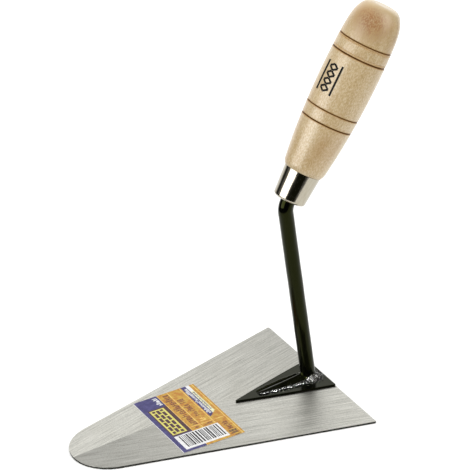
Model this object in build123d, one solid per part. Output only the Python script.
from build123d import *
from math import acos, atan2, cos, degrees, exp, hypot, radians, sin, tan
import os

# A masonry trowel: a flat ground steel blade, a welded foot that carries a cranked bar neck, and a
# turned wooden handle in a metal ferrule. Every size is in millimetres and every angle in degrees.
#
# The origin is on the blade's underside, in the tool's plane of symmetry, where the axis of the neck
# meets it. +X points to the nose of the blade, +Z up, and +Y to the left of a user who looks at the nose.

# Blade: a straight heel, two straight sides and a round nose that is tangent to them.
blade_length = 180.0
blade_width = 145.0
blade_nose_radius = 28.4
blade_corner_radius = 1.0
blade_thickness = 1.4

# Foot plate: a thin triangle on top of the blade, flush with its heel.
foot_length = 64.8
foot_width = 39.0
foot_side_bulge = 0.6
foot_thickness = 1.2

# Neck: one round bar that rises from the foot, leans to the nose and turns back into the handle.
bar_diameter = 9.8
neck_setback = 9.5
neck_lean = 3.4
bend_height = 130.0
bend_radius = 14.0
bar_stub = 0.5

# Leg: the forged end of the bar that runs forward on the foot and dies away towards its tip.
leg_tip_gap = 17.0
leg_tip_width = 2.4
leg_root_height = 12.0
leg_tip_height = 0.6
leg_fall_length = 9.0
leg_width_power = 2.5
leg_side_share = 0.45
leg_section_count = 9

# Tang: the tapered end of the bar inside the handle.
tang_length = 70.0
tang_tip_diameter = 4.5

# Welds: a bead along each side of the leg, and a collar round the back of the neck.
bead_radius = 1.8
bead_sink = 0.4
bead_offset = 1.2
bead_tip_inset = 1.0
weld_split = 6.0
collar_reach = 3.0
collar_rim = 0.4
collar_height = 3.5

# Ferrule: a tapered metal cup over the end of the handle, pierced for the bar.
ferrule_length = 20.7
ferrule_mouth_diameter = 21.2
ferrule_top_diameter = 24.4
ferrule_wall = 0.8
ferrule_round = 2.0
bar_clearance = 0.1

# Handle: a turned barrel with a flat butt. Its lengths start at the top of the ferrule.
handle_rise = 56.1
handle_length = 117.0
shoulder_length = 2.5
shoulder_diameter = 27.6
belly_at = 68.0
belly_diameter = 36.5
butt_diameter = 20.0
butt_slow_share = 0.25
butt_slow_power = 2
butt_fast_power = 8
groove_places = (34.4, 43.0, 81.2, 90.7)
groove_width = 1.2
groove_depth = 0.5
profile_point_count = 7

# Label: a thin printed film on the blade, ahead of the foot and just clear of the blade's sides.
label_gap = 10.8
label_length = 44.0
label_side_margin = 2.6
label_thickness = 0.15

# Places that follow from the sizes above.
blade_half_width = blade_width / 2
nose_centre_from_heel = blade_length - blade_nose_radius
blade_taper = degrees(
    acos(blade_nose_radius / hypot(blade_half_width, nose_centre_from_heel))
    - atan2(nose_centre_from_heel, blade_half_width)
)
foot_top = blade_thickness + foot_thickness
bar_radius = bar_diameter / 2
leg_length = foot_length - neck_setback - leg_tip_gap
handle_direction = Vector(-cos(radians(handle_rise)), 0, sin(radians(handle_rise)))
neck_direction = Vector(sin(radians(neck_lean)), 0, cos(radians(neck_lean)))
bend_corner = neck_direction * (bend_height / neck_direction.Z)
bend_angle = neck_direction.get_angle(handle_direction)
ferrule_start = bend_radius * tan(radians(bend_angle / 2)) + bar_stub
tang_start = ferrule_start + ferrule_wall
ferrule_frame = Plane(
    origin=bend_corner + handle_direction * ferrule_start,
    x_dir=(0, 1, 0),
    z_dir=handle_direction,
)
handle_frame = ferrule_frame.offset(ferrule_length)


def blade_half_width_at(from_heel):
    """Half the blade's width on its straight sides."""
    return blade_half_width - from_heel * tan(radians(blade_taper))


def make_blade():
    """A plate whose sides run straight from the heel to the points where the nose arc is tangent."""
    taper = radians(blade_taper)
    heel_x = -neck_setback
    nose_x = heel_x + nose_centre_from_heel
    tangent_x = nose_x + blade_nose_radius * sin(taper)
    tangent_y = blade_nose_radius * cos(taper)
    sides = Polyline(
        (tangent_x, -tangent_y),
        (heel_x, -blade_half_width),
        (heel_x, blade_half_width),
        (tangent_x, tangent_y),
    )
    nose = ThreePointArc((tangent_x, tangent_y), (nose_x + blade_nose_radius, 0), (tangent_x, -tangent_y))
    plate = extrude(make_face(sides + nose), blade_thickness)
    heel_corners = plate.edges().filter_by(Axis.Z).group_by(Axis.X)[0]
    return fillet(heel_corners, blade_corner_radius)


def make_foot_plate():
    """A triangle with its point to the nose and slightly bowed sides."""
    heel_x = -neck_setback
    tip = (heel_x + foot_length, 0)
    left = (heel_x, foot_width / 2)
    right = (heel_x, -foot_width / 2)
    outline = Line(left, right) + SagittaArc(right, tip, -foot_side_bulge)
    outline += SagittaArc(tip, left, -foot_side_bulge)
    return Pos(0, 0, blade_thickness) * extrude(make_face(outline), foot_thickness)


def leg_half_width(ahead):
    """Half the leg's width: the bar's at the neck, and narrowing faster towards the tip."""
    share = 1 - (ahead / leg_length) ** leg_width_power
    return (leg_tip_width + (bar_diameter - leg_tip_width) * share) / 2


def leg_height(ahead):
    """The leg's height above the foot, which dies away from the neck."""
    return leg_tip_height + (leg_root_height - leg_tip_height) * exp(-ahead / leg_fall_length)


def leg_section(ahead):
    """The leg's section: a flat base, short upright sides and a crowned top."""
    half = leg_half_width(ahead)
    crest = leg_height(ahead)
    edge = crest * leg_side_share
    outline = Polyline((half, edge), (half, 0), (-half, 0), (-half, edge))
    outline += ThreePointArc((-half, edge), (0, crest), (half, edge))
    section_plane = Plane(origin=(ahead, 0, foot_top), x_dir=(0, 1, 0), z_dir=(1, 0, 0))
    return section_plane * make_face(outline)


def make_tang():
    """The bar's end inside the handle: a cone that narrows from the bar to the tang's tip."""
    tang_plane = Plane(
        origin=bend_corner + handle_direction * tang_start, x_dir=(0, 1, 0), z_dir=handle_direction
    )
    taper = Cone(
        bar_radius, tang_tip_diameter / 2, tang_length, align=(Align.CENTER, Align.CENTER, Align.MIN)
    )
    return tang_plane * taper


def make_neck_rod():
    """One forging: the leg on the foot, the leaning bar, its bend and the tang."""
    route = FilletPolyline(
        Vector(0, 0, 0), bend_corner, bend_corner + handle_direction * tang_start, radius=bend_radius
    )
    bar = sweep(Plane(origin=(0, 0, 0), z_dir=neck_direction) * Circle(bar_radius), path=route)
    bar = split(bar, bisect_by=Plane.XY.offset(foot_top), keep=Keep.TOP)
    step = leg_length / (leg_section_count - 1)
    leg = loft([leg_section(step * count) for count in range(leg_section_count)], ruled=True)
    return bar + leg + make_tang()


def make_leg_bead(side, neck_rod):
    """A half-round bead on the foot along one side of the leg; side is 1 for left and -1 for right."""
    last = leg_length - bead_tip_inset
    stations = [weld_split + (last - weld_split) * count / 3 for count in range(4)]
    route = Spline(
        [(ahead, side * (leg_half_width(ahead) + bead_offset), foot_top - bead_sink) for ahead in stations]
    )
    bead = sweep(Plane(origin=route @ 0, z_dir=route % 0) * Circle(bead_radius), path=route)
    bead = split(bead, bisect_by=Plane.XY.offset(foot_top), keep=Keep.TOP)
    bead = split(bead, bisect_by=Plane.YZ.offset(weld_split), keep=Keep.TOP)
    return bead - neck_rod


def make_heel_weld(neck_rod):
    """A sloped collar round the sides and the back of the neck, where it stands on the foot."""
    collar = Cone(
        bar_radius + collar_reach,
        bar_radius + collar_rim,
        collar_height,
        align=(Align.CENTER, Align.CENTER, Align.MIN),
    )
    collar = split(Pos(0, 0, foot_top) * collar, bisect_by=Plane.YZ.offset(weld_split), keep=Keep.BOTTOM)
    return collar - neck_rod


def ferrule_form(inset):
    """The ferrule's outer form drawn in by inset at its side and mouth, in the ferrule's own frame."""
    widening = (ferrule_top_diameter - ferrule_mouth_diameter) / 2 / ferrule_length
    mouth_radius = ferrule_mouth_diameter / 2 - inset + widening * inset
    top_radius = ferrule_top_diameter / 2 - inset
    form = Pos(0, 0, inset) * Cone(
        mouth_radius, top_radius, ferrule_length - inset, align=(Align.CENTER, Align.CENTER, Align.MIN)
    )
    return fillet(form.edges().sort_by(Axis.Z)[0], ferrule_round - inset)


def make_ferrule():
    """A cup with a rounded mouth edge and a hole in its base that clears the bar."""
    bar_hole = Cylinder(bar_radius + bar_clearance, 4 * ferrule_wall)
    return ferrule_frame * (ferrule_form(0) - ferrule_form(ferrule_wall) - bar_hole)


def handle_radius(along):
    """The barrel's radius: a square law up to the belly, then a slow and a fast fall to the butt."""
    belly_radius = belly_diameter / 2
    if along < belly_at:
        share = (belly_at - along) / (belly_at - shoulder_length)
        return belly_radius - (belly_radius - shoulder_diameter / 2) * share**2
    share = (along - belly_at) / (handle_length - belly_at)
    fall = butt_slow_share * share**butt_slow_power + (1 - butt_slow_share) * share**butt_fast_power
    return belly_radius - (belly_radius - butt_diameter / 2) * fall


def barrel_curve(start, end):
    """A smooth curve through points of the barrel's outline, in the plane of X and Z."""
    step = (end - start) / (profile_point_count - 1)
    places = [start + step * count for count in range(profile_point_count)]
    return Spline([(handle_radius(along), 0, along) for along in places])


def make_handle(neck_rod):
    """The turned barrel, its spigot in the ferrule and its grooves, bored to the form of the tang."""
    outline = Polyline(
        (0, 0, handle_length),
        (0, 0, 0),
        (ferrule_top_diameter / 2, 0, 0),
        (shoulder_diameter / 2, 0, shoulder_length),
    )
    outline += barrel_curve(shoulder_length, belly_at)
    outline += barrel_curve(belly_at, handle_length)
    outline += Line((butt_diameter / 2, 0, handle_length), (0, 0, handle_length))
    barrel = revolve(make_face(outline), Axis.Z)
    for along in groove_places:
        root = (handle_radius(along) - groove_depth, 0, along)
        spread = groove_width / 2 / groove_depth
        mouth = handle_radius(along) + groove_depth
        lower = (mouth, 0, along - spread * 2 * groove_depth)
        upper = (mouth, 0, along + spread * 2 * groove_depth)
        barrel -= revolve(make_face(Polyline(root, lower, upper, close=True)), Axis.Z)
    return handle_frame * barrel + ferrule_frame * ferrule_form(ferrule_wall) - neck_rod


def make_label():
    """A rectangle of film that lies ahead of the foot, as wide as the blade's sides leave room for."""
    rear = foot_length + label_gap
    front = rear + label_length
    width = 2 * (blade_half_width_at(front) - label_side_margin)
    film = Box(label_length, width, label_thickness, align=(Align.MIN, Align.CENTER, Align.MIN))
    return Pos(rear - neck_setback, 0, blade_thickness) * film


os.makedirs("parts", exist_ok=True)
neck = make_neck_rod()
pieces = {
    "blade": make_blade(),
    "foot_plate": make_foot_plate(),
    "neck_rod": neck,
    "left_leg_weld": make_leg_bead(1, neck),
    "right_leg_weld": make_leg_bead(-1, neck),
    "heel_weld": make_heel_weld(neck),
    "ferrule": make_ferrule(),
    "handle": make_handle(neck),
    "label": make_label(),
}
for node, shape in pieces.items():
    export_step(shape, f"parts/{node}.step")
